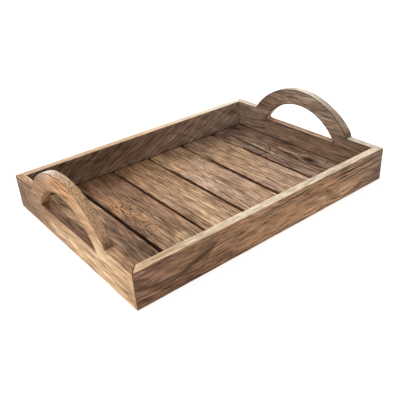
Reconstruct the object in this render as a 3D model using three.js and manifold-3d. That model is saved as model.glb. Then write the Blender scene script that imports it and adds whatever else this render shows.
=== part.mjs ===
// Wooden serving tray: four mitred boards round a floor of six slats, with an arched handle on each end.
// Millimetres. X runs along the tray, Y across it, Z up; the origin is under the middle, on the table.

import * as THREE from 'three';
import { mergeVertices } from 'three/addons/utils/BufferGeometryUtils.js';
import Module from 'manifold-3d';

const wasm = await Module();
wasm.setup();

// The frame
const trayLength = 420;
const trayWidth = 300;
const wallHeight = 49;
const boardThickness = 12;
const arris = 1; // radius of the eased edges of the boards

// The handles, one on each end board
const handleRise = 51; // top of the arch above the rim
const archRadius = 116;
const archFootRadius = 2.5; // hollow where the arch meets the rim
const gripDepth = 24; // wood between the top of the arch and the hand hole
const handHoleDrop = 13.5; // flat lower edge of the hand hole below the rim
const handHoleRadius = 84;
const handHoleCorner = 2;

// The floor
const slatCount = 6;
const slatThickness = 6;
const slatGap = 5;
const slatArris = 0.8;
const rebateDepth = 6; // how far the slat ends run in under the side boards

// Brads
const slatBradLength = 18;
const cornerBradLength = 20;
const bradShank = 0.7; // radius
const bradHead = 1.3; // radius
const bradHeadThickness = 0.8;
const bradPoint = 2; // length of the tapered point
const bradSink = 0.5; // heads of the slat brads above the table
const cornerBradSink = 1.5; // heads of the corner brads below the face
const bradFromSlatEdge = 14;
const cornerBradFromEdge = 12; // from the underside and from the rim

// Clearances
const fitGap = 0.3; // between pieces that are glued, seated or driven
const overrun = 2; // how far a cutting shape runs past the wood

// How finely curves are divided
const arcStep = 5; // longest straight piece on a curve
const arrisSteps = 2;
const bradSides = 8;

const innerLength = trayLength - 2 * boardThickness;
const innerWidth = trayWidth - 2 * boardThickness;
const slatWidth = (innerLength - 2 * fitGap - (slatCount - 1) * slatGap) / slatCount;
const slatLength = innerWidth + 2 * (rebateDepth - fitGap);
const slatSeatY = innerWidth / 2 + rebateDepth / 2; // middle of the wood that each slat end rests in

const timber = { pale: 0xb8926c, tan: 0xa9835f, brown: 0x8c6b52, dark: 0x75583f };
const slatColours = [0x8f7660, 0x9c7858, 0xa07f60, 0x8f7259, 0x9a7a5c, 0x857060];

// ---- shapes into solids and back ----

function solidOf(geometry) {
  const plain = geometry.index ? geometry.toNonIndexed() : geometry.clone();
  plain.deleteAttribute('normal');
  plain.deleteAttribute('uv');
  const merged = mergeVertices(plain, 1e-4);
  return new wasm.Manifold(new wasm.Mesh({
    numProp: 3,
    vertProperties: new Float32Array(merged.attributes.position.array),
    triVerts: new Uint32Array(merged.index.array),
  }));
}

function geometryOf(solid) {
  const mesh = solid.getMesh();
  const geometry = new THREE.BufferGeometry();
  geometry.setAttribute('position', new THREE.BufferAttribute(mesh.vertProperties, 3));
  geometry.setIndex(new THREE.BufferAttribute(mesh.triVerts, 1));
  geometry.computeVertexNormals();
  return geometry;
}

function cutAll(solid, cutters) {
  return cutters.reduce((left, cutter) => left.subtract(solidOf(cutter)), solid);
}

// Points along an arc, counter-clockwise when toAngle is the larger. A long arc has an even number of
// steps, so that its crown is a point.
function arcPoints(centreX, centreY, radius, fromAngle, toAngle, leastSteps = arrisSteps) {
  const pairs = Math.ceil(Math.abs(toAngle - fromAngle) * radius / arcStep / 2);
  const steps = Math.max(leastSteps, 2 * pairs);
  return Array.from({ length: steps + 1 }, (_, i) => {
    const angle = fromAngle + (toAngle - fromAngle) * i / steps;
    return new THREE.Vector2(centreX + radius * Math.cos(angle), centreY + radius * Math.sin(angle));
  });
}

// A section of a board or slat, x from 0 to width and y from 0 to height, with its four edges eased
function easedSection(width, height, radius) {
  return new THREE.Shape([
    ...arcPoints(radius, radius, radius, Math.PI, 1.5 * Math.PI),
    ...arcPoints(width - radius, radius, radius, -0.5 * Math.PI, 0),
    ...arcPoints(width - radius, height - radius, radius, 0, 0.5 * Math.PI),
    ...arcPoints(radius, height - radius, radius, 0.5 * Math.PI, Math.PI),
  ]);
}

// Turns a shape drawn in (Y, Z) and extruded along its own z into tray axes, running along +X
function alongX(geometry) {
  const turn = new THREE.Matrix4().makeBasis(
    new THREE.Vector3(0, 1, 0), new THREE.Vector3(0, 0, 1), new THREE.Vector3(1, 0, 0));
  return geometry.applyMatrix4(turn);
}

// Turns a shape drawn in (X, Z) and extruded along its own z into tray axes, running along -Y
function alongY(geometry) {
  return geometry.rotateX(0.5 * Math.PI);
}

function box(width, depth, height, x, y, z) {
  return new THREE.BoxGeometry(width, depth, height).translate(x, y, z);
}

// ---- the mitred frame ----

// The plan of a mitred board, drawn with its outer face on y = 0 and its length on x. The mitres stand
// half a glue line back from the 45 degree plane, and the outer upright corners are eased.
function mitredPlan(length, top) {
  const half = length / 2;
  const setBack = fitGap / Math.SQRT2;
  const tip = Math.asin(fitGap / (2 * arris));
  const inside = boardThickness + overrun;
  const plan = new THREE.Shape([
    new THREE.Vector2(half - arris, -overrun),
    ...arcPoints(half - arris, arris, arris, -0.5 * Math.PI, -0.25 * Math.PI - tip),
    new THREE.Vector2(half - inside - setBack, inside),
    new THREE.Vector2(-half + inside + setBack, inside),
    ...arcPoints(-half + arris, arris, arris, -0.75 * Math.PI + tip, -0.5 * Math.PI),
    new THREE.Vector2(-half + arris, -overrun),
  ]);
  const depth = top + 2 * overrun;
  return new THREE.ExtrudeGeometry(plan, { depth, bevelEnabled: false }).translate(0, 0, -overrun);
}

// Where the corner brads stand above the table
function cornerBradHeights() {
  return [cornerBradFromEdge, wallHeight - cornerBradFromEdge];
}

// Middle of each slat on X
function slatCentres() {
  return Array.from({ length: slatCount }, (_, i) => (i - (slatCount - 1) / 2) * (slatWidth + slatGap));
}

// Where the brads stand on X, two to each slat end
function slatBradPlaces() {
  const offset = slatWidth / 2 - bradFromSlatEdge;
  return slatCentres().flatMap((x) => [x - offset, x + offset]);
}

// A hole for a brad driven along +Z from z = 0, with its head sunk below the start
function bradHole(sink, length) {
  const shankDepth = sink + length + fitGap + overrun;
  const headDepth = sink + bradHeadThickness + fitGap + overrun;
  const shank = new THREE.CylinderGeometry(bradShank + fitGap, bradShank + fitGap, shankDepth, bradSides);
  const head = new THREE.CylinderGeometry(bradHead + fitGap, bradHead + fitGap, headDepth, bradSides);
  return [shank, head].map((cutter, i) => cutter.rotateX(0.5 * Math.PI)
    .translate(0, 0, (i ? headDepth : shankDepth) / 2 - overrun));
}

// A side board in its own axes: outer face on y = 0, inner face towards +Y, middle on x = 0
function sideBoardGeometry() {
  const section = easedSection(boardThickness, wallHeight, arris);
  const depth = trayLength + 2 * overrun;
  const plank = alongX(new THREE.ExtrudeGeometry(section, { depth, bevelEnabled: false }))
    .translate(-depth / 2, 0, 0);
  const rebate = box(innerLength, rebateDepth + overrun, slatThickness + overrun,
    0, boardThickness - rebateDepth / 2 + overrun / 2, slatThickness / 2 - overrun / 2);
  const seat = boardThickness - rebateDepth / 2;
  const slatHoles = slatBradPlaces().flatMap((x) => bradHole(bradSink, slatBradLength)
    .map((cutter) => cutter.translate(x, seat, 0)));
  const endHoles = [-1, 1].flatMap((end) => cornerBradHeights().flatMap((z) =>
    bradHole(cornerBradSink, cornerBradLength).map((cutter) => cutter
      .rotateY(-end * 0.5 * Math.PI).translate(end * trayLength / 2, boardThickness / 2, z))));
  const board = solidOf(plank).intersect(solidOf(mitredPlan(trayLength, wallHeight)));
  return geometryOf(cutAll(board, [rebate, ...slatHoles, ...endHoles]));
}

// The upright outline of an end board: a straight rim with the arch rising from its middle
function endBoardOutline() {
  const half = trayWidth / 2 + overrun;
  const archCentre = wallHeight + handleRise - archRadius;
  const footReach = archRadius + archFootRadius;
  const footRise = wallHeight + archFootRadius - archCentre;
  const footY = Math.sqrt(footReach ** 2 - footRise ** 2);
  const footAngle = Math.atan2(footRise, footY);
  return new THREE.Shape([
    new THREE.Vector2(-half, 0),
    new THREE.Vector2(half, 0),
    new THREE.Vector2(half, wallHeight),
    ...arcPoints(footY, wallHeight + archFootRadius, archFootRadius, 1.5 * Math.PI, Math.PI + footAngle, 4),
    ...arcPoints(0, archCentre, archRadius, footAngle, Math.PI - footAngle).slice(1, -1),
    ...arcPoints(-footY, wallHeight + archFootRadius, archFootRadius, -footAngle, -0.5 * Math.PI, 4),
    new THREE.Vector2(-half, wallHeight),
  ]);
}

// The hand hole: flat below, one arc above, with small round corners between them
function handHolePath() {
  const bottom = wallHeight - handHoleDrop;
  const centre = wallHeight + handleRise - gripDepth - handHoleRadius;
  const cornerRise = bottom + handHoleCorner - centre;
  const cornerY = Math.sqrt((handHoleRadius - handHoleCorner) ** 2 - cornerRise ** 2);
  const cornerAngle = Math.atan2(cornerRise, cornerY);
  const cornerZ = bottom + handHoleCorner;
  return new THREE.Path([
    ...arcPoints(cornerY, cornerZ, handHoleCorner, -0.5 * Math.PI, cornerAngle, 4),
    ...arcPoints(0, centre, handHoleRadius, cornerAngle, Math.PI - cornerAngle).slice(1, -1),
    ...arcPoints(-cornerY, cornerZ, handHoleCorner, Math.PI - cornerAngle, 1.5 * Math.PI, 4),
  ]);
}

// An end board in its own axes: outer face on x = 0, inner face towards +X, middle on y = 0
function endBoardGeometry() {
  const outline = endBoardOutline();
  outline.holes.push(handHolePath());
  const plank = alongX(new THREE.ExtrudeGeometry(outline, {
    depth: boardThickness - 2 * arris,
    bevelThickness: arris,
    bevelSize: arris,
    bevelOffset: -arris,
    bevelSegments: arrisSteps,
  })).translate(arris, 0, 0);
  const mitres = mitredPlan(trayWidth, wallHeight + handleRise).rotateZ(-0.5 * Math.PI);
  const holes = [-1, 1].flatMap((side) => cornerBradHeights().flatMap((z) =>
    bradHole(cornerBradSink, cornerBradLength).map((cutter) => cutter
      .rotateY(0.5 * Math.PI).translate(0, side * (trayWidth - boardThickness) / 2, z))));
  return geometryOf(cutAll(solidOf(plank).intersect(solidOf(mitres)), holes));
}

// ---- the floor ----

// A slat in its own axes: underside on z = 0, middle on x = 0 and y = 0
function slatGeometry() {
  const section = easedSection(slatWidth, slatThickness, slatArris);
  const plank = alongY(new THREE.ExtrudeGeometry(section, { depth: slatLength, bevelEnabled: false }))
    .translate(-slatWidth / 2, slatLength / 2, 0);
  const offset = slatWidth / 2 - bradFromSlatEdge;
  const holes = [-1, 1].flatMap((end) => [-offset, offset].flatMap((x) =>
    bradHole(bradSink, slatBradLength).map((cutter) => cutter.translate(x, end * slatSeatY, 0))));
  return geometryOf(cutAll(solidOf(plank), holes));
}

// ---- brads ----

// A brad in its own axes: head at y = 0, point towards +Y
function bradGeometry(length) {
  return new THREE.LatheGeometry([
    new THREE.Vector2(0, 0),
    new THREE.Vector2(bradHead, 0),
    new THREE.Vector2(bradHead, bradHeadThickness),
    new THREE.Vector2(bradShank, bradHeadThickness),
    new THREE.Vector2(bradShank, length - bradPoint),
    new THREE.Vector2(0, length),
  ], bradSides);
}

// ---- finishes ----

function wood(colour) {
  return new THREE.MeshStandardMaterial({ color: colour, roughness: 0.62, metalness: 0 });
}

function bradSteel() {
  return new THREE.MeshStandardMaterial({ color: 0x8d8f92, roughness: 0.4, metalness: 0.9 });
}

// ---- assembly ----

function piece(name, geometry, material, place) {
  const mesh = new THREE.Mesh(geometry, material);
  mesh.name = name;
  mesh.position.set(...place);
  return mesh;
}

function sideBoards() {
  const front = piece('front_side_board', sideBoardGeometry(), wood(timber.brown), [0, -trayWidth / 2, 0]);
  const back = piece('back_side_board', sideBoardGeometry(), wood(timber.dark), [0, trayWidth / 2, 0]);
  back.rotation.z = Math.PI;
  return [front, back];
}

function endBoards() {
  const left = piece('left_end_board', endBoardGeometry(), wood(timber.pale), [-trayLength / 2, 0, 0]);
  const right = piece('right_end_board', endBoardGeometry(), wood(timber.tan), [trayLength / 2, 0, 0]);
  right.rotation.z = Math.PI;
  return [left, right];
}

function floorSlats() {
  return slatCentres().map((x, i) =>
    piece(`floor_slat_${i + 1}`, slatGeometry(), wood(slatColours[i % slatColours.length]), [x, 0, 0]));
}

function slatBrads() {
  return [-1, 1].flatMap((side) => slatBradPlaces().map((x, i) => {
    const row = side < 0 ? 'front' : 'back';
    const brad = piece(`slat_brad_${row}_${i + 1}`, bradGeometry(slatBradLength), bradSteel(),
      [x, side * slatSeatY, bradSink]);
    brad.rotation.x = 0.5 * Math.PI;
    return brad;
  }));
}

function cornerBrads() {
  return [-1, 1].flatMap((end) => [-1, 1].flatMap((side) => cornerBradHeights().map((z, i) => {
    const corner = `${side < 0 ? 'front' : 'back'}_${end < 0 ? 'left' : 'right'}`;
    const brad = piece(`corner_brad_${corner}_${i ? 'upper' : 'lower'}`, bradGeometry(cornerBradLength),
      bradSteel(), [end * (trayLength / 2 - cornerBradSink), side * (trayWidth - boardThickness) / 2, z]);
    brad.rotation.z = end * 0.5 * Math.PI;
    return brad;
  })));
}

const tray = new THREE.Group();
tray.add(...sideBoards(), ...endBoards(), ...floorSlats(), ...slatBrads(), ...cornerBrads());

export default tray;
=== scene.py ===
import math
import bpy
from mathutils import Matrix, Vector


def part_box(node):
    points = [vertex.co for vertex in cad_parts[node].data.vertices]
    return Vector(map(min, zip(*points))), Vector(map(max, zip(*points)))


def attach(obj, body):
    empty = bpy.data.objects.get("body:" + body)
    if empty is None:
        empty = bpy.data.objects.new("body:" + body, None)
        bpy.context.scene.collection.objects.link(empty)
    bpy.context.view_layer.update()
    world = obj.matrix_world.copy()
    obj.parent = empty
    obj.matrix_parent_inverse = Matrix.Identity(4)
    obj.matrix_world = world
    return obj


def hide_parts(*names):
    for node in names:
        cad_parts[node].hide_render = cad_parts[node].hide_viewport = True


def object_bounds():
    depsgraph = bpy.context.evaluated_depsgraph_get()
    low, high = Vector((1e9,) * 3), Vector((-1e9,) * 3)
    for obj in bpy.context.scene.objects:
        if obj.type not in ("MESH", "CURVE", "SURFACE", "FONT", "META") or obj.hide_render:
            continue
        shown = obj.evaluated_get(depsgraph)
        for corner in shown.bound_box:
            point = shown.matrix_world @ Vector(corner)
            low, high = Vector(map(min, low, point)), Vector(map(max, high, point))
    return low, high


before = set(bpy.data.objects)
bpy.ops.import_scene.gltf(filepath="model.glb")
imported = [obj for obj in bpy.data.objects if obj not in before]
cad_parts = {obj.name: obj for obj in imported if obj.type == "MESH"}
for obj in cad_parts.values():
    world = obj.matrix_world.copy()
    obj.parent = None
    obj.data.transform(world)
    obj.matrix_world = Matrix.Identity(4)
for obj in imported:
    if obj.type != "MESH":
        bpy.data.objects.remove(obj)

# Wooden serving tray: four mitred boards, six floor slats, an arched handle on each end.
# The frame is in metres; sizes marked mm below are turned into metres with mm.

from types import SimpleNamespace

import bmesh
import bpy
from mathutils import Matrix, Quaternion, Vector, noise

mm = 0.001
cadLow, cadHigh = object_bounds()
scene = bpy.context.scene
scene.view_settings.view_transform = "Standard"
print("frame loaded:", len(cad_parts), "nodes")

view = {
    "aim": (-0.03825, -0.04298, 0.020),  # metres
    "distance": 0.71805,  # metres from the aim
    "azimuth": 37.117,  # degrees from +y towards +x
    "elevation": 30.199,  # degrees
    "roll": 3.53,  # degrees, the right side dips
    "lens": 48.576,  # mm
}


def placeCamera(view):
    turn = math.radians(view["azimuth"])
    tilt = math.radians(view["elevation"])
    forward = Vector((math.sin(turn) * math.cos(tilt), math.cos(turn) * math.cos(tilt), -math.sin(tilt)))
    right = Quaternion(forward, math.radians(view["roll"])) @ Vector((math.cos(turn), -math.sin(turn), 0))
    upward = right.cross(forward)
    data = bpy.data.cameras.new("trayCamera")
    data.lens = view["lens"]
    data.sensor_width = 36
    data.clip_start = 0.01
    camera = bpy.data.objects.new("trayCamera", data)
    camera.rotation_mode = "QUATERNION"
    camera.rotation_quaternion = Matrix((right, upward, -forward)).transposed().to_quaternion()
    camera.location = Vector(view["aim"]) - forward * view["distance"]
    scene.collection.objects.link(camera)
    scene.camera = camera


placeCamera(view)
print("camera placed")


def sway(along, seed, pitch):
    # a smooth wander between -1 and 1 down the length of a board
    return noise.noise(Vector((along / pitch, seed * 7.31, seed * 1.7)))


sharpFold = math.radians(40)  # edges that fold more than this stay crisp
arrisSteps = 3  # flats in a rounded edge


def makePiece(name, mesh, slot, *nodes):
    mesh.normal_update()
    for face in mesh.faces:
        face.smooth = True
    for edge in mesh.edges:
        edge.smooth = len(edge.link_faces) != 2 or edge.calc_face_angle(0) <= sharpFold
    data = bpy.data.meshes.new(name)
    mesh.to_mesh(data)
    mesh.free()
    piece = bpy.data.objects.new(name, data)
    scene.collection.objects.link(piece)
    weighted = piece.modifiers.new("flatFaces", "WEIGHTED_NORMAL")
    weighted.keep_sharp = True
    weighted.weight = 80
    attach(piece, "root")
    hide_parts(*nodes)
    return piece


def easedSection(width, height, radius):
    # the section of a board with its four edges rounded, anticlockwise from the lower right
    corners = (
        (width - radius, radius, -90),
        (width - radius, height - radius, 0),
        (radius, height - radius, 90),
        (radius, radius, 180),
    )
    section = []
    for middleX, middleY, start in corners:
        for step in range(arrisSteps + 1):
            angle = math.radians(start + 90 * step / arrisSteps)
            section.append((middleX + radius * math.cos(angle), middleY + radius * math.sin(angle)))
    return section


def sweep(sections):
    # joins equal rings of points into one closed skin
    mesh = bmesh.new()
    rings = [[mesh.verts.new(point) for point in section] for section in sections]
    for before, after in zip(rings, rings[1:]):
        for i in range(len(before)):
            j = (i + 1) % len(before)
            mesh.faces.new((before[i], before[j], after[j], after[i]))
    mesh.faces.new(rings[0])
    mesh.faces.new(reversed(rings[-1]))
    bmesh.ops.recalc_face_normals(mesh, faces=mesh.faces)
    return mesh


def saw(mesh, place, outward):
    # cuts off what lies beyond a plane and closes the cut
    everything = mesh.verts[:] + mesh.edges[:] + mesh.faces[:]
    bmesh.ops.bisect_plane(
        mesh, geom=everything, dist=1e-7, plane_co=place, plane_no=outward, clear_outer=True
    )
    cut = [edge for edge in mesh.edges if edge.is_boundary]
    bmesh.ops.holes_fill(mesh, edges=cut, sides=0)
    bmesh.ops.recalc_face_normals(mesh, faces=mesh.faces)


frameBoards = {
    "easing": 1.0,  # mm, rounding of the long edges
    "wear": 0.35,  # how much that rounding wanders
    "wearPitch": 23,  # mm over which it wanders
    "dip": 0.12,  # mm that the rim and the arch are worn down
    "dipPitch": 60,
    "archPitch": 30,
    "glueLine": 0.16,  # mm from the mitre plane to the wood
    # flats on the outer upright corners: degrees off the diagonal, mm taken off
    "cornerFlats": ((-22.5, 0.32), (22.5, 0.32), (0, 0.55)),
    "openMitre": 0.7,  # mm that the near left joint stands open at its top
    "station": 6.0,  # mm between sections
    "rebate": 6.3,  # mm wide and high under the side boards, stopped at the end boards
    "shoulder": 0.01,  # mm in which the rebate starts
}

length = cadHigh.x - cadLow.x
width = cadHigh.y - cadLow.y
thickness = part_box("front_side_board")[1].y - cadLow.y
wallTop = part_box("front_side_board")[1].z


def mitrePlane(endX, endY, isEnd, settings):
    # a plane through the corner at 45 degrees, facing away from the kept wood
    outward = Vector((endX, -endY, 0)) / math.sqrt(2)
    if isEnd:
        outward = -outward
    corner = Vector((endX * length / 2, endY * width / 2, 0))
    return corner - outward * settings["glueLine"] * mm, outward


def sideBoard(isBack, seed, settings):
    inward = -1 if isBack else 1
    outerY = cadHigh.y if isBack else cadLow.y
    half = length / 2
    stop = half - thickness
    count = round(length / (settings["station"] * mm))
    places = [-half + length * i / count for i in range(count + 1)]
    # no other section within half a millimetre of a shoulder
    places = [x for x in places if abs(abs(x) - stop) > 0.5 * mm]
    shoulder = settings["shoulder"] * mm
    places += [-stop - shoulder, -stop + shoulder, stop - shoulder, stop + shoulder]
    sections = []
    for x in sorted(places):
        rebate = settings["rebate"] * mm if abs(x) < stop else shoulder
        easing = settings["easing"] * mm * (1 + settings["wear"] * sway(x / mm, seed, settings["wearPitch"]))
        section = []
        corners = easedSection(thickness, wallTop, easing)[arrisSteps + 1:]
        notch = [(thickness - rebate, 0), (thickness - rebate, rebate), (thickness, rebate)]
        worn = settings["dip"] * mm * (1 + sway(x / mm, seed + 3, settings["dipPitch"]))
        for u, z in notch + corners:
            dip = worn if z > wallTop / 2 else 0
            section.append((x, outerY + inward * u, z - dip))
        sections.append(section)
    mesh = sweep(sections)
    for endX in (-1, 1):
        place, outward = mitrePlane(endX, -inward, False, settings)
        saw(mesh, place, outward)
        easeCorner(mesh, endX, -inward, settings)
    return mesh


def easeCorner(mesh, endX, endY, settings):
    # takes the sharpness off the upright outer corner
    corner = Vector((endX * length / 2, endY * width / 2, 0))
    middle = math.atan2(endY, endX)
    for turn, depth in settings["cornerFlats"]:
        angle = middle + math.radians(turn)
        outward = Vector((math.cos(angle), math.sin(angle), 0))
        saw(mesh, corner - outward * depth * mm, outward)


def outlineArc(middleY, middleZ, radius, start, end, step):
    count = max(2, round(abs(end - start) * radius / step))
    return [
        Vector((middleY + radius * math.cos(start + (end - start) * i / count),
                middleZ + radius * math.sin(start + (end - start) * i / count)))
        for i in range(count + 1)
    ]


handles = {
    "archRadius": 116.0,  # mm
    "footRadius": 2.5,
    "grip": 24.0,  # wood over the middle of the hand hole
    "holeRadius": 84.0,
    "holeDrop": 13.5,  # sill of the hole below the rim
    "holeCorner": 2.0,
    "step": 2.0,  # mm between outline points on the arch and the hole
    "fineStep": 0.6,  # the same in the small radii
    "straights": (60, 8, 12),  # outline steps along the underside, up an end and along a rim
    "sillSteps": 40,
    "overrun": 2.0,  # mm that the blank runs past the mitres
    "wearFrom": 3.0,  # mm above the rim
    "bulge": 1.7,  # mm that the right arch stands proud on its near flank, outside only
    "bulgeAt": 43,  # degrees round the arch
    "bulgeReach": 17,
}


def handleOutline(settings):
    wall = wallTop / mm
    half = width / mm / 2 + settings["overrun"]
    centre = cadHigh.z / mm - settings["archRadius"]
    foot = settings["footRadius"]
    fine = settings["fineStep"]
    under, side, rim = settings["straights"]
    rise = wall + foot - centre
    footY = math.sqrt((settings["archRadius"] + foot) ** 2 - rise ** 2)
    angle = math.atan2(rise, footY)
    low = [Vector((-half + 2 * half * i / under, 0)) for i in range(under + 1)]
    rightRim = [Vector((half, wall * i / side)) for i in range(1, side)]
    rightRim += [Vector((half + (footY - half) * i / rim, wall)) for i in range(rim)]
    rightFoot = outlineArc(footY, wall + foot, foot, 1.5 * math.pi, math.pi + angle, fine)
    arch = outlineArc(0, centre, settings["archRadius"], angle, math.pi - angle, settings["step"])[1:-1]
    leftFoot = outlineArc(-footY, wall + foot, foot, -angle, -0.5 * math.pi, fine)
    leftRim = [Vector((-footY + (footY - half) * i / rim, wall)) for i in range(1, rim + 1)]
    leftRim += [Vector((-half, wall * (side - i) / side)) for i in range(1, side)]
    return low + rightRim + rightFoot + arch + leftFoot + leftRim


def holeOutline(settings):
    sill = wallTop / mm - settings["holeDrop"]
    centre = cadHigh.z / mm - settings["grip"] - settings["holeRadius"]
    corner = settings["holeCorner"]
    rise = sill + corner - centre
    cornerY = math.sqrt((settings["holeRadius"] - corner) ** 2 - rise ** 2)
    angle = math.atan2(rise, cornerY)
    fine = settings["fineStep"]
    steps = settings["sillSteps"]
    right = outlineArc(cornerY, sill + corner, corner, -0.5 * math.pi, angle, fine)
    arch = outlineArc(0, centre, settings["holeRadius"], angle, math.pi - angle, settings["step"])[1:-1]
    left = outlineArc(-cornerY, sill + corner, corner, math.pi - angle, 1.5 * math.pi, fine)
    sillLine = [Vector((-cornerY + 2 * cornerY * i / steps, sill)) for i in range(1, steps)]
    return right + arch + left + sillLine


def drawIn(outline, depth):
    # moves each point of an anticlockwise outline into the wood
    moved = []
    for i, point in enumerate(outline):
        before = (point - outline[i - 1]).normalized()
        after = (outline[(i + 1) % len(outline)] - point).normalized()
        normal = Vector((-before.y - after.y, before.x + after.x)).normalized()
        share = max(0.5, normal.dot(Vector((-before.y, before.x))))
        moved.append(point + normal * depth / share)
    return moved


def endBoard(isRight, seed, settings, handle):
    outward = 1 if isRight else -1
    outerX = cadHigh.x if isRight else cadLow.x
    thick = thickness / mm
    outline = handleOutline(handle)
    hole = holeOutline(handle)
    centre = cadHigh.z / mm - handle["archRadius"]
    # depth into the board and inset of the outline, layer by layer
    layers = []
    easing = settings["easing"]
    for step in range(arrisSteps + 1):
        angle = math.radians(90 * step / arrisSteps)
        layers.append((easing * (1 - math.cos(angle)), easing * (1 - math.sin(angle))))
    layers += [(thick - depth, inset) for depth, inset in reversed(layers)]
    mesh = bmesh.new()
    loops = []
    for shape, side in ((outline, 1), (hole, -1)):
        rings = []
        for depth, inset in layers:
            ring = []
            for point, moved in zip(shape, drawIn(shape, inset * side)):
                worn = moved.copy()
                if point.y > wallTop / mm + handle["wearFrom"]:
                    rim = Vector((point.x, point.y - centre)).normalized()
                    dip = settings["dip"] * (1 + sway(point.x + point.y, seed, settings["archPitch"]))
                    worn -= rim * dip
                    if isRight and side == 1 and point.x < 0:
                        flank = math.degrees(math.atan2(point.y - centre, -point.x))
                        share = max(0, 1 - ((flank - handle["bulgeAt"]) / handle["bulgeReach"]) ** 2)
                        worn += rim * handle["bulge"] * share * (1 - depth / thick)
                ring.append(mesh.verts.new((outerX - outward * depth * mm, worn.x * mm, worn.y * mm)))
            rings.append(ring)
        for before, after in zip(rings, rings[1:]):
            for i in range(len(before)):
                j = (i + 1) % len(before)
                mesh.faces.new((before[i], before[j], after[j], after[i]))
        loops.append(rings)
    for layer in (0, -1):
        edges = []
        for rings in loops:
            ring = rings[layer]
            edges += [mesh.edges.get((ring[i], ring[(i + 1) % len(ring)])) for i in range(len(ring))]
        bmesh.ops.triangle_fill(mesh, edges=edges, use_beauty=True)
    bmesh.ops.recalc_face_normals(mesh, faces=mesh.faces)
    for endY in (-1, 1):
        place, away = mitrePlane(outward, endY, True, settings)
        if not isRight and endY < 0:
            # the near left joint opens towards the top of its outer edge
            away = (away + Vector((0, 0, settings["openMitre"] / (wallTop / mm)))).normalized()
        saw(mesh, place, away)
        easeCorner(mesh, outward, endY, settings)
    return mesh


frontBoard = makePiece("frontSideBoard", sideBoard(False, 3, frameBoards),
                       "side_board_wood", "front_side_board")
backBoard = makePiece("backSideBoard", sideBoard(True, 8, frameBoards),
                      "side_board_wood", "back_side_board")
leftBoard = makePiece("leftEndBoard", endBoard(False, 12, frameBoards, handles),
                      "end_board_wood", "left_end_board")
rightBoard = makePiece("rightEndBoard", endBoard(True, 19, frameBoards, handles),
                       "end_board_wood", "right_end_board")
print("frame boards made")

floorSlats = {
    "easing": 0.8,  # mm
    "wear": 0.4,  # how much that rounding wanders
    "wearPitch": 17,  # mm over which it wanders
    "wander": 0.25,  # mm that the long edges leave a straight line
    "wanderPitch": 40,
    "station": 6.0,
    # mm that each edge stands out (+) or back (-), left then right, at the front and at the back
    "edges": [
        ((0, 0), (0, 0)),
        ((0, 0), (0.5, 0.5)),
        ((0.5, 0.5), (0, 0)),
        ((0, 0), (0, -0.4)),
        ((0, -0.4), (0.1, -0.3)),
        ((0.3, -0.4), (0, 0)),
    ],
}


def floorSlat(number, settings):
    low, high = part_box(f"floor_slat_{number}")
    (leftFront, leftBack), (rightFront, rightBack) = settings["edges"][number - 1]
    count = round((high.y - low.y) / (settings["station"] * mm))
    sections = []
    for i in range(count + 1):
        share = i / count
        y = low.y + (high.y - low.y) * share
        left = low.x - (leftFront + (leftBack - leftFront) * share) * mm
        right = high.x + (rightFront + (rightBack - rightFront) * share) * mm
        left += settings["wander"] * mm * sway(y / mm, number * 5, settings["wanderPitch"])
        right += settings["wander"] * mm * sway(y / mm, number * 5 + 2, settings["wanderPitch"])
        wear = settings["wear"] * sway(y / mm, number, settings["wearPitch"])
        easing = settings["easing"] * mm * (1 + wear)
        section = easedSection(right - left, high.z - low.z, easing)
        sections.append([(left + u, y, low.z + v) for u, v in section])
    return sweep(sections)


slats = []
for number in range(1, len(floorSlats["edges"]) + 1):
    slats.append(makePiece(f"floorSlat{number}", floorSlat(number, floorSlats), "slat_wood",
                           f"floor_slat_{number}"))
print("floor slats made")


def isFlat(value):
    # true for plain numbers and value sockets, false for vectors and colours
    if isinstance(value, Wire):
        return value.socket.type not in ("VECTOR", "RGBA")
    return isinstance(value, (int, float))


class Wire:
    # one output socket, so that shader sums can be written as plain Python
    def __init__(self, finish, socket):
        self.finish = finish
        self.socket = socket

    def __add__(self, other):
        return self.finish.maths("ADD", self, other)

    def __radd__(self, other):
        return self.finish.maths("ADD", other, self)

    def __sub__(self, other):
        return self.finish.maths("SUBTRACT", self, other)

    def __rsub__(self, other):
        return self.finish.maths("SUBTRACT", other, self)

    def __mul__(self, other):
        return self.finish.maths("MULTIPLY", self, other)

    def __rmul__(self, other):
        return self.finish.maths("MULTIPLY", other, self)

    def __truediv__(self, other):
        return self.finish.maths("DIVIDE", self, other)

    def __pow__(self, other):
        return self.finish.maths("POWER", self, other)


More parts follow.
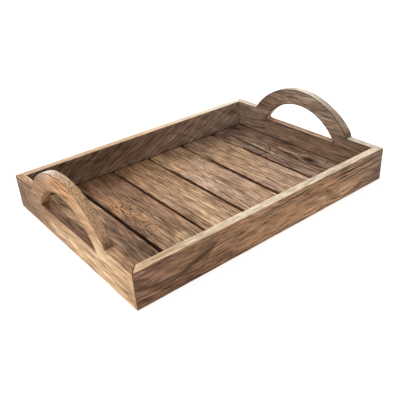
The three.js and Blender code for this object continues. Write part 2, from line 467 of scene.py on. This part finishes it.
class Finish:
    # a material and the few ways that its nodes are made
    def __init__(self, name):
        self.material = bpy.data.materials.new(name)
        self.material.use_nodes = True
        self.tree = self.material.node_tree
        self.tree.nodes.clear()

    def node(self, kind, settings=None, sockets=None, out=0):
        node = self.tree.nodes.new("ShaderNode" + kind)
        for key, value in (settings or {}).items():
            if key == "stops":
                self.setStops(node.color_ramp, value)
            else:
                setattr(node, key, value)
        for key, value in (sockets or {}).items():
            target = node.inputs[key]
            if isinstance(value, Wire):
                self.tree.links.new(value.socket, target)
            elif target.type == "RGBA":
                target.default_value = (*value[:3], 1)
            elif target.type == "VECTOR" and isFlat(value):
                target.default_value = (value, value, value)
            else:
                target.default_value = value
        return Wire(self, node.outputs[out]) if node.outputs else None

    def setStops(self, ramp, stops):
        while len(ramp.elements) > len(stops):
            ramp.elements.remove(ramp.elements[-1])
        while len(ramp.elements) < len(stops):
            ramp.elements.new(1)
        for element, (position, colour) in zip(ramp.elements, stops):
            element.position = position
            element.color = (*colour, 1)

    def maths(self, operation, first, second):
        if isFlat(first) and isFlat(second):
            return self.node("Math", {"operation": operation}, {0: first, 1: second})
        if operation == "MULTIPLY" and (isFlat(first) or isFlat(second)):
            vector, amount = (second, first) if isFlat(first) else (first, second)
            return self.node("VectorMath", {"operation": "SCALE"}, {0: vector, 3: amount})
        return self.node("VectorMath", {"operation": operation}, {0: first, 1: second})

    def root(self, value):
        return self.node("Math", {"operation": "SQRT"}, {0: value})

    def size(self, value):
        return self.node("Math", {"operation": "ABSOLUTE"}, {0: value})

    def larger(self, first, second):
        return self.node("Math", {"operation": "MAXIMUM"}, {0: first, 1: second})

    def fade(self, value):
        return self.node("Math", {"operation": "EXPONENT"}, {0: value * -1})

    def split(self, vector):
        parts = self.node("SeparateXYZ", None, {0: vector})
        outputs = parts.socket.node.outputs
        return [Wire(self, outputs[i]) for i in range(3)]

    def join(self, first, second, third):
        return self.node("CombineXYZ", None, {0: first, 1: second, 2: third})

    def between(self, value, low, high):
        sockets = {"Value": value, "From Min": low, "From Max": high}
        return self.node("MapRange", {"interpolation_type": "SMOOTHSTEP"}, sockets)

    def below(self, value, low, high):
        return 1 - self.between(value, low, high)

    def thinLine(self, value, reach):
        # full where noise crosses its middle
        return self.below(self.size(value - 0.5), 0.0, reach)

    def cloud(self, vector, detail=2.0, roughness=0.5):
        sockets = {"Vector": vector, "Scale": 1.0, "Detail": detail, "Roughness": roughness}
        return self.node("TexNoise", None, sockets)

    def blend(self, amount, first, second):
        # sockets 6 and 7 are the two colours, output 2 the mixed one
        return self.node("Mix", {"data_type": "RGBA"}, {0: amount, 6: first, 7: second}, 2)

    def tones(self, position, stops):
        return self.node("ValToRGB", {"stops": spread(stops)}, {0: position})


def tint(stain):
    # a named stain, or a colour code, as linear red, green and blue
    code = stains.get(stain, stain)
    parts = [int(code[i:i + 2], 16) / 255 for i in (1, 3, 5)]
    return tuple(p / 12.92 if p <= 0.04045 else ((p + 0.055) / 1.055) ** 2.4 for p in parts)


def spread(codes):
    # tones spaced evenly from one end of a board to the other
    last = max(1, len(codes) - 1)
    return [(i / last, tint(code)) for i, code in enumerate(codes)]


# Stains named as a maker would name them; every board below picks from these.
stains = {
    "palest": "#f8ecd8",
    "linen": "#f4e0c4",
    "cream": "#ecd8bc",
    "straw": "#e2be96",
    "honey": "#c8a078",
    "amber": "#c28e5e",
    "biscuit": "#c8a488",
    "ash": "#b8a08c",
    "tan": "#bc9672",
    "hazel": "#aa8260",
    "drift": "#9a7e6a",
    "chestnut": "#967052",
    "mushroom": "#8a6e5a",
    "walnut": "#86624c",
    "russet": "#7c5436",
    "umber": "#705444",
    "bark": "#54402f",
    "coal": "#34241b",
}

# One entry for each board. Stains run along the grain, from -x or -y to +x or +y.
# heart: where the middle of the log lies, across the face and behind it, mm
# lean: how far the grain runs out of line; waver: mm it wanders; ring: mm between growth rings
# knots: along, across, reach, push
# patches: along, across, reach along, reach across, slope, stain, strength
boardDefaults = {
    "fibre": 0.8, "hair": 1.1, "veins": 0.4, "pores": 0.6,  # how strong each kind of grain is
    "slant": 0,  # how steeply the grain crosses the inner face
    "ripple": 0.25,
    "rimCalm": 0.35,  # how much weaker the grain is on the rims
    "edgeWearAndHighlight": 0.3,
    "knots": [], "patches": [], "specks": [],
    "inward": 1,  # -1 where the inner face looks towards -x or -y
    "patchesInside": False,
}

woods = {
    "front": {
        "cut": "side", "seed": 11, "heart": (-30, 60), "lean": 0.03, "waver": 14, "ring": 9,
        "outer": ["walnut", "chestnut", "hazel", "hazel", "mushroom"],
        "inner": ["umber"],
        "rim": ["straw", "cream", "linen", "linen"],
        "rimCalm": 0.45,
        "figure": 0.55, "fibre": 0.75, "veins": 0.5, "pores": 0.5,
        "knots": [(-150, 20, 30, 9), (120, 60, 40, 12)],
        "patches": [
            (-135, 24, 44, 4, 0.3, "bark", 0.75),
            (150, 40, 70, 1.8, 0.03, "coal", 0.8),
            (160, 31, 60, 1.4, 0.05, "coal", 0.75),
            (20, 41, 70, 1.8, 0.02, "bark", 0.7),
            (0, 1, 220, 4, 0.0, "bark", 0.4),
            (110, 14, 80, 7, 0.0, "tan", 0.4),
        ],
    },
    "back": {
        "cut": "side", "inward": -1, "seed": 23, "heart": (90, -70), "lean": -0.2, "waver": 16, "ring": 9,
        "outer": ["hazel", "drift"],
        "inner": ["mushroom", "drift", "ash"],
        "rim": ["biscuit", "straw", "palest"],
        "rimCalm": 0.65,
        "slant": 0.5, "figure": 0.6, "veins": 0.5,
        "knots": [(60, 20, 45, 16)],
    },
    "left": {
        "cut": "end", "seed": 37, "heart": (-20, 50), "lean": -0.05, "waver": 5, "ring": 9,
        "outer": ["honey", "straw", "honey", "hazel", "walnut"],
        "inner": ["umber"],
        "rim": ["hazel", "honey", "honey"],
        # the palest stop of the left crown is a painted highlight on the arch top
        "crown": ["russet", "honey", "tan", "palest", "tan"],
        "sill": "russet",
        "archOuter": ["straw", "honey", "amber", "hazel", "hazel"],
        "figure": 0.3, "fibre": 0.5, "veins": 0.2, "pores": 0.4,
        "patches": [
            (-70, 24, 70, 4, 0.03, "hazel", 0.5),
            (10, 14, 70, 5, 0.02, "cream", 0.4),
            (60, 30, 50, 6, 0.0, "walnut", 0.4),
        ],
        "edgeStain": 0.6,
        "rimCalm": 0.0,
    },
    "right": {
        "cut": "end", "inward": -1, "seed": 41, "heart": (-40, -60), "lean": 0.04, "waver": 14, "ring": 10,
        "outer": ["hazel", "tan", "hazel"],
        "inner": ["drift", "drift", "ash"],
        "rim": ["palest", "cream"],
        # the right crown is palest at the top of the arch, partly its own tone and partly painted light from
        # above
        "crown": ["drift", "ash", "palest", "mushroom", "bark"],
        "sill": "biscuit",
        "archInner": ["ash", "ash", "ash", "mushroom", "umber"],
        "figure": 0.3, "fibre": 0.55, "hair": 0.8, "pores": 0.5,
        "patches": [
            (20, 15, 100, 3, 0.0, "hazel", 0.5),
            (-70, 23, 50, 3, 0.02, "amber", 0.35),
            (60, 27, 40, 3, 0.0, "hazel", 0.4),
        ],
        "edgeStain": 0.8,
        "patchesInside": True,
        "edgeWearAndHighlight": 0.05,
        "rimCalm": 0.25,
    },
    "slat1": {
        "cut": "slat", "seed": 53, "heart": (-190, -60), "lean": 0.05, "waver": 15, "ring": 9,
        "outer": ["chestnut", "chestnut", "chestnut", "tan", "straw"],
        "figure": 0.7, "veins": 0.5,
        "patches": [
            (-60, -160, 50, 4, 0.1, "bark", 0.6),
            (-90, -176, 40, 6, 0.0, "tan", 0.4),
        ],
        "ripple": 0.45,
        "paleFrom": 130,
    },
    "slat2": {
        "cut": "slat", "seed": 61, "heart": (-90, -50), "lean": 0.03, "waver": 14, "ring": 11,
        "outer": ["tan", "hazel", "chestnut", "walnut"],
        "figure": 0.6, "pores": 0.75,
        "patches": [
            (15, -116, 62, 17, 0.0, "amber", 0.55),
            (-98, -100, 34, 20, 0.25, "straw", 0.6),
            (-60, -82, 40, 4, 0.0, "walnut", 0.6),
        ],
        "paleFrom": 130,
        "specks": [(10, -114, 76, 24, 0.85)],
    },
    "slat3": {
        "cut": "slat", "seed": 71, "heart": (-36, -40), "lean": -0.03, "waver": 12, "ring": 10,
        "outer": ["tan", "tan", "hazel"],
        "figure": 0.45,
        "patches": [
            (-88, -46, 44, 9, 0.12, "straw", 0.5),
            (-40, -22, 40, 6, -0.15, "straw", 0.4),
            (20, -40, 70, 5, 0.05, "honey", 0.4),
        ],
        "paleFrom": 122,
    },
    "slat4": {
        "cut": "slat", "seed": 83, "heart": (60, -60), "lean": 0.02, "waver": 14, "ring": 11,
        "outer": ["tan", "biscuit", "tan"],
        "figure": 0.45,
        "patches": [
            (-40, 34, 60, 8, 0.05, "drift", 0.5),
            (50, 20, 40, 6, 0.0, "biscuit", 0.5),
        ],
        "paleFrom": 82,
    },
    "slat5": {
        "cut": "slat", "seed": 97, "heart": (90, -50), "lean": 0.02, "waver": 14, "ring": 11,
        "outer": ["biscuit", "biscuit", "tan", "drift"],
        "figure": 0.55,
        "patches": [
            (-20, 82, 60, 5, 0.04, "straw", 0.4),
            (60, 110, 40, 8, 0.0, "honey", 0.5),
        ],
        "paleFrom": 63,
    },
    "slat6": {
        "cut": "slat", "seed": 101, "heart": (160, -40), "lean": 0.0, "waver": 16, "ring": 8,
        "outer": ["drift", "drift", "mushroom", "drift"],
        "figure": 1.0, "veins": 0.8,
        "knots": [(-46, 176, 14, 30), (48, 152, 20, 24), (98, 165, 16, 22)],
        "patches": [
            (-46, 176, 22, 8, 0.0, "bark", 0.7),
            (-46, 176, 11, 4.5, 0.0, "coal", 1.0),
            (-20, 166, 50, 2.6, 0.1, "coal", 0.8),
            (-80, 170, 34, 3.0, -0.1, "bark", 0.9),
            (60, 150, 60, 3.6, 0.08, "coal", 0.85),
            (100, 168, 30, 3.4, -0.1, "bark", 0.7),
            (15, 177, 50, 3.4, 0.05, "biscuit", 0.7),
            (-60, 157, 50, 3.6, 0.1, "biscuit", 0.8),
            (5, 152, 60, 3.0, 0.08, "biscuit", 0.6),
        ],
        "paleFrom": 60,
    },
}

# How fast each pattern changes along, across and through the wood (per mm), its detail, its roughness.
grain = {
    "drift": (0.012, 0.03, 0.03, 2.0, 0.5),
    "ripple": (0.045, 0.07, 0.05, 2.0, 0.5),
    "blotch": (0.014, 0.03, 0.03, 2.0, 0.5),
    "warmth": (0.016, 0.13, 0.1, 2.0, 0.5),
    "fibre": (0.026, 0.66, 0.6, 3.0, 0.65),
    "hair": (0.028, 1.4, 1.4, 2.0, 0.6),
    "threads": (0.018, 0.3, 0.3, 2.0, 0.5),
    "pores": (0.055, 0.85, 0.85, 2.0, 0.5),
}

# The stretch of each noise that is spread to full contrast, or how far a thin line reaches.
contrast = {
    "bands": (0.28, 0.72),
    "fibre": (0.36, 0.64),
    "hair": (0.4, 0.6),
    "pores": (0.54, 0.66),
    "veins": 0.04,
    "threads": 0.07,
}

# Pairs are where an effect starts and where it is full.
woodLook = {
    "gloss": 0.58,  # roughness of the smooth wood
    "shine": 0.12,  # specular level
    "polish": 0.45,  # coat on the handles, from the hands that hold them
    "polishBelowTop": (30, 12),  # mm
    "polishFromMiddle": (5, 40),  # mm
    "grainDepth": 0.35,  # mm of relief
    "bareAndHighlight": "straw",  # wood on the worn edges, paler also as a painted highlight
    "stain": "walnut",  # painted shade on the sides of the slats, in the gaps between them
    "paleBack": "straw",  # pale strip on the slat sides towards their back ends
    "paleEnd": (130, 133),  # mm, where the pale strip goes under the back wall
    "threads": 0.42,  # how dark the long fine lines are
    "warmth": 0.32,  # how far the hue swings
    "rimWarmth": 0.2,  # how much less it swings on the rims
    "darkest": 0.08,
    "seamShade": 0.65,  # how dark the painted shade in the joint between floor and walls is
    "archStart": (-2, 8),  # mm above the rim, where a board's tones give way to its handle's
    "sillToRim": (-8, -3),  # mm above the rim, where the sill's tone gives way to the crown's
    "calmFrom": (-6, -3),  # mm above the rim
    "archEnd": (95, 97),  # mm from the middle of the board, where the arch meets the rim
    "holeEnd": (71, 73),  # mm from the middle of the board, where the hand hole ends
    "burntCurve": (0.5, 2.2),  # mm that a burnt edge reaches in from the arch and the hole
    "burntLine": (0.5, 2.0),  # mm that it reaches in from the rim and the sill
    "footAcross": (84, 96),  # mm from the middle, where the feet of the arch turn dark
    "footTop": (4, 16),  # mm above the rim, where that dark ends
    "footStart": (0.3, 1.5),  # mm above the rim
}

rimHeight = wallTop / mm
topHeight = cadHigh.z / mm
innerHalfWidth = width / mm / 2 - thickness / mm
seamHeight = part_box("floor_slat_1")[1].z / mm


def aboveRim(finish, z, span):
    return finish.between(z, rimHeight + span[0], rimHeight + span[1])


def whereOnBoard(finish, wood):
    # a point's place on its board in mm, and which way its face looks
    x, y, z = finish.split(finish.node("TexCoord", None, None, "Object") * 1000)
    facingX, facingY, facingZ = finish.split(finish.node("TexCoord", None, None, "Normal"))
    along, across, through, broad = {
        "side": (x, z, y, facingY),
        "end": (y, z, x, facingX),
        "slat": (y, x, z, facingZ),
    }[wood["cut"]]
    at = SimpleNamespace(y=y, z=z, along=along, across=across, through=through, broad=broad)
    at.inside = finish.between(broad * wood["inward"], 0.2, 0.6)
    at.patched = at.inside if wood["cut"] == "slat" or wood["patchesInside"] else 1 - at.inside
    if wood["cut"] != "slat":
        at.narrow = finish.below(finish.size(broad), 0.35, 0.75)
        at.onRim = at.narrow * finish.between(facingZ, 0.1, 0.4)
    return at


def growthRings(finish, wood, at, drift):
    # rings round the middle of the log, bent by knots
    heartAcross, heartDeep = wood["heart"]
    side = at.across - heartAcross - at.along * wood["lean"] + drift * wood["waver"]
    deep = at.through - heartDeep
    rings = finish.root(side * side + deep * deep)
    for knotAlong, knotAcross, knotReach, push in wood["knots"]:
        offAlong = (at.along - knotAlong) * 0.6
        offAcross = at.across - knotAcross
        away = (offAlong * offAlong + offAcross * offAcross) / knotReach ** 2
        rings = rings + finish.fade(away) * push
    return rings / wood["ring"]


def woodGrain(finish, wood, at):
    # every pattern in the wood; those used for both light and dark lie round zero
    seed = wood["seed"]

    def pattern(kind, across, side=1):
        alongRate, acrossRate, throughRate, detail, roughness = grain[kind]
        deep = at.through * throughRate + seed * side
        return finish.cloud(finish.join(at.along * alongRate, across * acrossRate, deep), detail, roughness)

    drift = pattern("drift", at.across) - 0.5
    drift = drift + (pattern("ripple", at.across, -1) - 0.5) * wood["ripple"]
    rings = growthRings(finish, wood, at, drift)
    bands = finish.cloud(finish.join(at.along * 0.006, rings, seed), 4.0, 0.6)
    veins = finish.cloud(finish.join(at.along * 0.005, rings * 0.6, seed + 9.5), 3.0, 0.55)
    line = at.across + drift * wood["waver"] * 0.7 - at.along * (at.inside * wood["slant"])
    fibre = finish.between(pattern("fibre", line), *contrast["fibre"]) - 0.5
    blotch = pattern("blotch", at.across, -1) - 0.5
    threads = finish.thinLine(pattern("threads", line), contrast["threads"])
    return SimpleNamespace(
        drift=drift,
        bands=finish.between(bands, *contrast["bands"]) - 0.5,
        veins=finish.thinLine(veins, contrast["veins"]),
        fibre=fibre,
        hair=finish.between(pattern("hair", line, -1), *contrast["hair"]) - 0.5,
        blotch=blotch,
        threads=threads * finish.between(fibre + blotch * 2, -0.35, 0.5),
        warmth=pattern("warmth", line) - 0.5,
        pores=finish.between(pattern("pores", line), *contrast["pores"]),
    )


def woodTone(finish, wood, at, grown, settings):
    # the stains along a board, face by face, then its patches
    reach = (length if wood["cut"] == "side" else width) / mm
    share = at.along / reach + 0.5
    tone = finish.tones(share, wood["outer"])
    if wood["cut"] == "slat":
        # the slat sides get a dark tone as painted shade in the gaps, and a pale strip towards their back
        # ends
        edge = finish.below(finish.size(at.broad), 0.3, 0.7)
        paleBack = finish.between(at.y + grown.bands * 20, wood["paleFrom"], wood["paleFrom"] + 10)
        paleBack = paleBack * finish.below(at.y, *settings["paleEnd"]) * finish.between(at.z, 1.5, 3.0)
        tone = finish.blend(edge, tone, finish.blend(paleBack, tint(settings["stain"]), tint(settings["paleBack"])))
    else:
        inner = finish.tones(share, wood["inner"])
        rim = finish.tones(share, wood["rim"])
        if wood["cut"] == "end":
            arch = aboveRim(finish, at.z, settings["archStart"])
            if "archOuter" in wood:
                tone = finish.blend(arch, tone, finish.tones(share, wood["archOuter"]))
            if "archInner" in wood:
                inner = finish.blend(arch, inner, finish.tones(share, wood["archInner"]))
            # the crown tones on the arch tops include painted highlights
            rim = finish.blend(arch, rim, finish.tones(share, wood["crown"]))
            rim = finish.blend(aboveRim(finish, at.z, settings["sillToRim"]), tint(wood["sill"]), rim)
        tone = finish.blend(at.inside, tone, inner)
        tone = finish.blend(at.onRim, tone, rim)
    for patchAlong, patchAcross, reachAlong, reachAcross, slope, stain, strength in wood["patches"]:
        offAlong = (at.along - patchAlong) / reachAlong
        offAcross = at.across - patchAcross - (at.along - patchAlong) * slope + grown.drift * 8
        offAcross = offAcross / reachAcross
        inPatch = 1 - offAlong * offAlong - offAcross * offAcross + grown.bands * 0.8
        amount = finish.between(inPatch, 0.05, 0.55) * at.patched * strength
        tone = finish.blend(amount, tone, tint(stain))
    return tone


def speckShade(finish, wood, at, shade):
    # short dark specks inside an oval
    for speckAlong, speckAcross, reachAlong, reachAcross, strength in wood["specks"]:
        offAlong = (at.along - speckAlong) / reachAlong
        offAcross = (at.across - speckAcross) / reachAcross
        region = finish.between(1 - offAlong * offAlong - offAcross * offAcross, 0.0, 0.9)
        dots = finish.cloud(finish.join(at.along * 0.2, at.across * 0.55, wood["seed"]), 1.0)
        dots = finish.between(dots, 0.53, 0.62) * at.patched
        shade = shade * (1 - dots * region * strength)
    return shade


def burntEdges(finish, at, handle, settings):
    # darkest on the edges of the arch, the hole and the rim of an end board
    y, z = at.y, at.z
    sill = rimHeight - handle["holeDrop"]
    archRise = z - (topHeight - handle["archRadius"])
    holeRise = z - (topHeight - handle["grip"] - handle["holeRadius"])
    fromArch = finish.size(finish.root(y * y + archRise * archRise) - handle["archRadius"])
    fromHole = finish.size(finish.root(y * y + holeRise * holeRise) - handle["holeRadius"])
    inHole = finish.below(finish.size(y), *settings["holeEnd"])
    inArch = finish.below(finish.size(y), *settings["archEnd"])
    burnt = finish.below(fromArch, *settings["burntCurve"]) * aboveRim(finish, z, (-1, 1))
    hole = finish.below(fromHole, *settings["burntCurve"]) * finish.between(z, sill - 2, sill)
    burnt = finish.larger(burnt, hole)
    burnt = finish.larger(burnt, finish.below(finish.size(z - sill), *settings["burntLine"]) * inHole)
    rim = finish.below(finish.size(z - rimHeight), *settings["burntLine"])
    return finish.larger(burnt, rim * (1 - inArch))


def woodShade(finish, wood, at, grown, settings):
    # light and dark from the grain, then painted shade in the seam and the burnt edges
    shade = 1 + grown.bands * wood["figure"] + grown.fibre * wood["fibre"] + grown.hair * wood["hair"]
    shade = shade + grown.blotch * 0.5
    shade = shade * (1 - grown.veins * wood["veins"] * 0.7) * (1 - grown.pores * wood["pores"])
    shade = shade * (1 - grown.threads * settings["threads"])
    if wood["cut"] != "slat":
        calm = at.onRim * aboveRim(finish, at.z, settings["calmFrom"]) * wood["rimCalm"]
        shade = shade + (1 - shade) * calm
    shade = speckShade(finish, wood, at, shade)
    # painted shade darkens the seam between the floor and the walls
    if wood["cut"] == "slat":
        seamShade = finish.between(finish.size(at.y), innerHalfWidth - 2.0, innerHalfWidth - 0.3)
    else:
        seamShade = at.inside * finish.below(finish.size(at.z - seamHeight), 0.4, 2.0)
    shade = shade * (1 - seamShade * settings["seamShade"])
    if wood["cut"] == "end":
        foot = at.narrow * finish.between(finish.size(at.y), *settings["footAcross"])
        foot = foot * (1 - aboveRim(finish, at.z, settings["footTop"]))
        foot = foot * aboveRim(finish, at.z, settings["footStart"])
        shade = shade * (1 - foot * wood["edgeStain"])
        burnt = burntEdges(finish, at, handles, settings)
        shade = shade * (1 - burnt * (1 - at.narrow) * wood["edgeStain"])
    return finish.larger(shade, settings["darkest"])


def woodFinish(name, board, settings):
    finish = Finish(name)
    wood = {**boardDefaults, **board}
    at = whereOnBoard(finish, wood)
    grown = woodGrain(finish, wood, at)
    tone = woodTone(finish, wood, at, grown, settings)
    shade = woodShade(finish, wood, at, grown, settings)
    swing = settings["warmth"]
    if wood["cut"] != "slat":
        swing = swing - at.onRim * settings["rimWarmth"]
    warmth = grown.warmth * swing
    # dark grain loses blue first, as stained wood does
    red = shade ** 0.9 * (1 + warmth)
    green = shade * (1 + warmth * 0.3)
    blue = shade ** 1.12 * (1 - warmth)
    colour = tone * finish.join(red, green, blue)
    # the finish is worn where one face turns into the next, and the paler edge is also a painted highlight
    squarely = finish.larger(finish.size(at.broad), finish.root(1 - at.broad * at.broad))
    worn = finish.below(squarely, 0.8, 0.96) * finish.between(grown.fibre + grown.blotch, -0.2, 0.3)
    colour = finish.blend(worn * wood["edgeWearAndHighlight"], colour, tint(settings["bareAndHighlight"]))
    relief = grown.fibre * 0.4 + grown.bands * 0.15 - grown.pores * 0.6
    bump = finish.node("Bump", None, {
        "Strength": 0.6, "Distance": settings["grainDepth"] * mm, "Height": relief,
    })
    polish = 0.0
    if wood["cut"] == "end":
        low, high = settings["polishBelowTop"]
        polish = finish.between(at.z, topHeight - low, topHeight - high)
        polish = polish * finish.between(at.y, *settings["polishFromMiddle"])
    surface = finish.node("BsdfPrincipled", None, {
        "Base Color": colour,
        "Roughness": settings["gloss"] - grown.fibre * 0.12 + grown.pores * 0.2 - worn * 0.05,
        "Normal": bump,
        "Specular IOR Level": settings["shine"],
        "Coat Weight": polish * settings["polish"],
        "Coat Roughness": 0.35,
    })
    finish.node("OutputMaterial", None, {"Surface": surface})
    return finish.material


def dress(piece, material):
    piece.data.materials.clear()
    piece.data.materials.append(material)


boards = {"front": frontBoard, "back": backBoard, "left": leftBoard, "right": rightBoard}
for side, board in boards.items():
    dress(board, woodFinish(f"{side}BoardWood", woods[side], woodLook))
for number, slat in enumerate(slats, 1):
    dress(slat, woodFinish(f"slat{number}Wood", woods[f"slat{number}"], woodLook))
print("wood finished")

brad = {
    "steel": "#8f9092",
    "rust": "#5a4a3c",
    "roughness": 0.38,
    "drawn": 1.5,  # drawing marks per mm
    "specks": 0.7,  # rust specks per mm
    "relief": 0.1,  # mm
}


def bradFinish(settings):
    finish = Finish("bradSteel")
    place = finish.node("TexCoord", None, None, "Object") * 1000
    drawn = finish.cloud(place * settings["drawn"], 3.0, 0.6)
    speck = finish.between(finish.cloud(place * settings["specks"] + 4.0, 3.0, 0.6), 0.52, 0.66)
    colour = finish.blend(speck, tint(settings["steel"]), tint(settings["rust"]))
    colour = colour * (0.8 + drawn * 0.4)
    bump = finish.node("Bump", None, {
        "Strength": 0.4, "Distance": settings["relief"] * mm, "Height": drawn,
    })
    surface = finish.node("BsdfPrincipled", None, {
        "Base Color": colour, "Metallic": 0.9 - speck * 0.6,
        "Roughness": settings["roughness"] + speck * 0.35, "Normal": bump,
    })
    finish.node("OutputMaterial", None, {"Surface": surface})
    return finish.material


bradMaterial = bradFinish(brad)
for name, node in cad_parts.items():
    if "brad" in name:
        dress(node, bradMaterial)
print("brads finished")

studio = {
    "floorSize": 40.0,  # metres
    "underShadowFade": (0.010, 0.004),  # metres in from the tray's outline, where the painted shadow under it ends
    "floorTone": (0.9, 0.9, 0.9),
    "floorGlow": 0.6,
    # painted shadow under the tray, seen through the gaps
    "underShadowTone": (0.03, 0.022, 0.016),
    "sky": 0.58,
    "lights": [
        # name, direction it comes from, distance, size, watts
        ("backWindow", (0.15, 0.85, 0.62), 1.6, 1.3, 20.0),
        ("leftFill", (-0.9, -0.2, 0.35), 1.8, 1.2, 6.0),
    ],
}


def makeFloor(settings):
    mesh = bmesh.new()
    bmesh.ops.create_grid(mesh, x_segments=8, y_segments=8, size=settings["floorSize"] / 2)
    data = bpy.data.meshes.new("studioFloor")
    mesh.to_mesh(data)
    mesh.free()
    floor = bpy.data.objects.new("studioFloor", data)
    scene.collection.objects.link(floor)
    finish = Finish("floorPaper")
    # bright paper everywhere, with a dark tone painted under the tray as its shadow
    x, y = finish.split(finish.node("TexCoord", None, None, "Object"))[:2]
    dark, bright = settings["underShadowFade"]
    under = 1 - finish.between(finish.size(x), length / 2 - dark, length / 2 - bright)
    under = under * (1 - finish.between(finish.size(y), width / 2 - dark, width / 2 - bright))
    surface = finish.node("BsdfPrincipled", None, {
        "Base Color": finish.blend(under, settings["floorTone"], settings["underShadowTone"]),
        "Roughness": 0.9, "Specular IOR Level": 0.1,
        "Emission Color": finish.blend(under, (1, 1, 1), (0, 0, 0)),
        "Emission Strength": settings["floorGlow"],
    })
    finish.node("OutputMaterial", None, {"Surface": surface})
    dress(floor, finish.material)


def makeLights(settings):
    world = bpy.data.worlds.new("studioAir")
    scene.world = world
    world.use_nodes = True
    background = world.node_tree.nodes["Background"]
    background.inputs["Color"].default_value = (1, 1, 1, 1)
    background.inputs["Strength"].default_value = settings["sky"]
    for name, direction, distance, size, watts in settings["lights"]:
        data = bpy.data.lights.new(name, "AREA")
        data.shape = "DISK"
        data.size = size
        data.energy = watts
        lamp = bpy.data.objects.new(name, data)
        comesFrom = Vector(direction).normalized()
        lamp.location = comesFrom * distance
        lamp.rotation_euler = comesFrom.to_track_quat("Z", "Y").to_euler()
        scene.collection.objects.link(lamp)


makeFloor(studio)
makeLights(studio)
print("floor and light made")
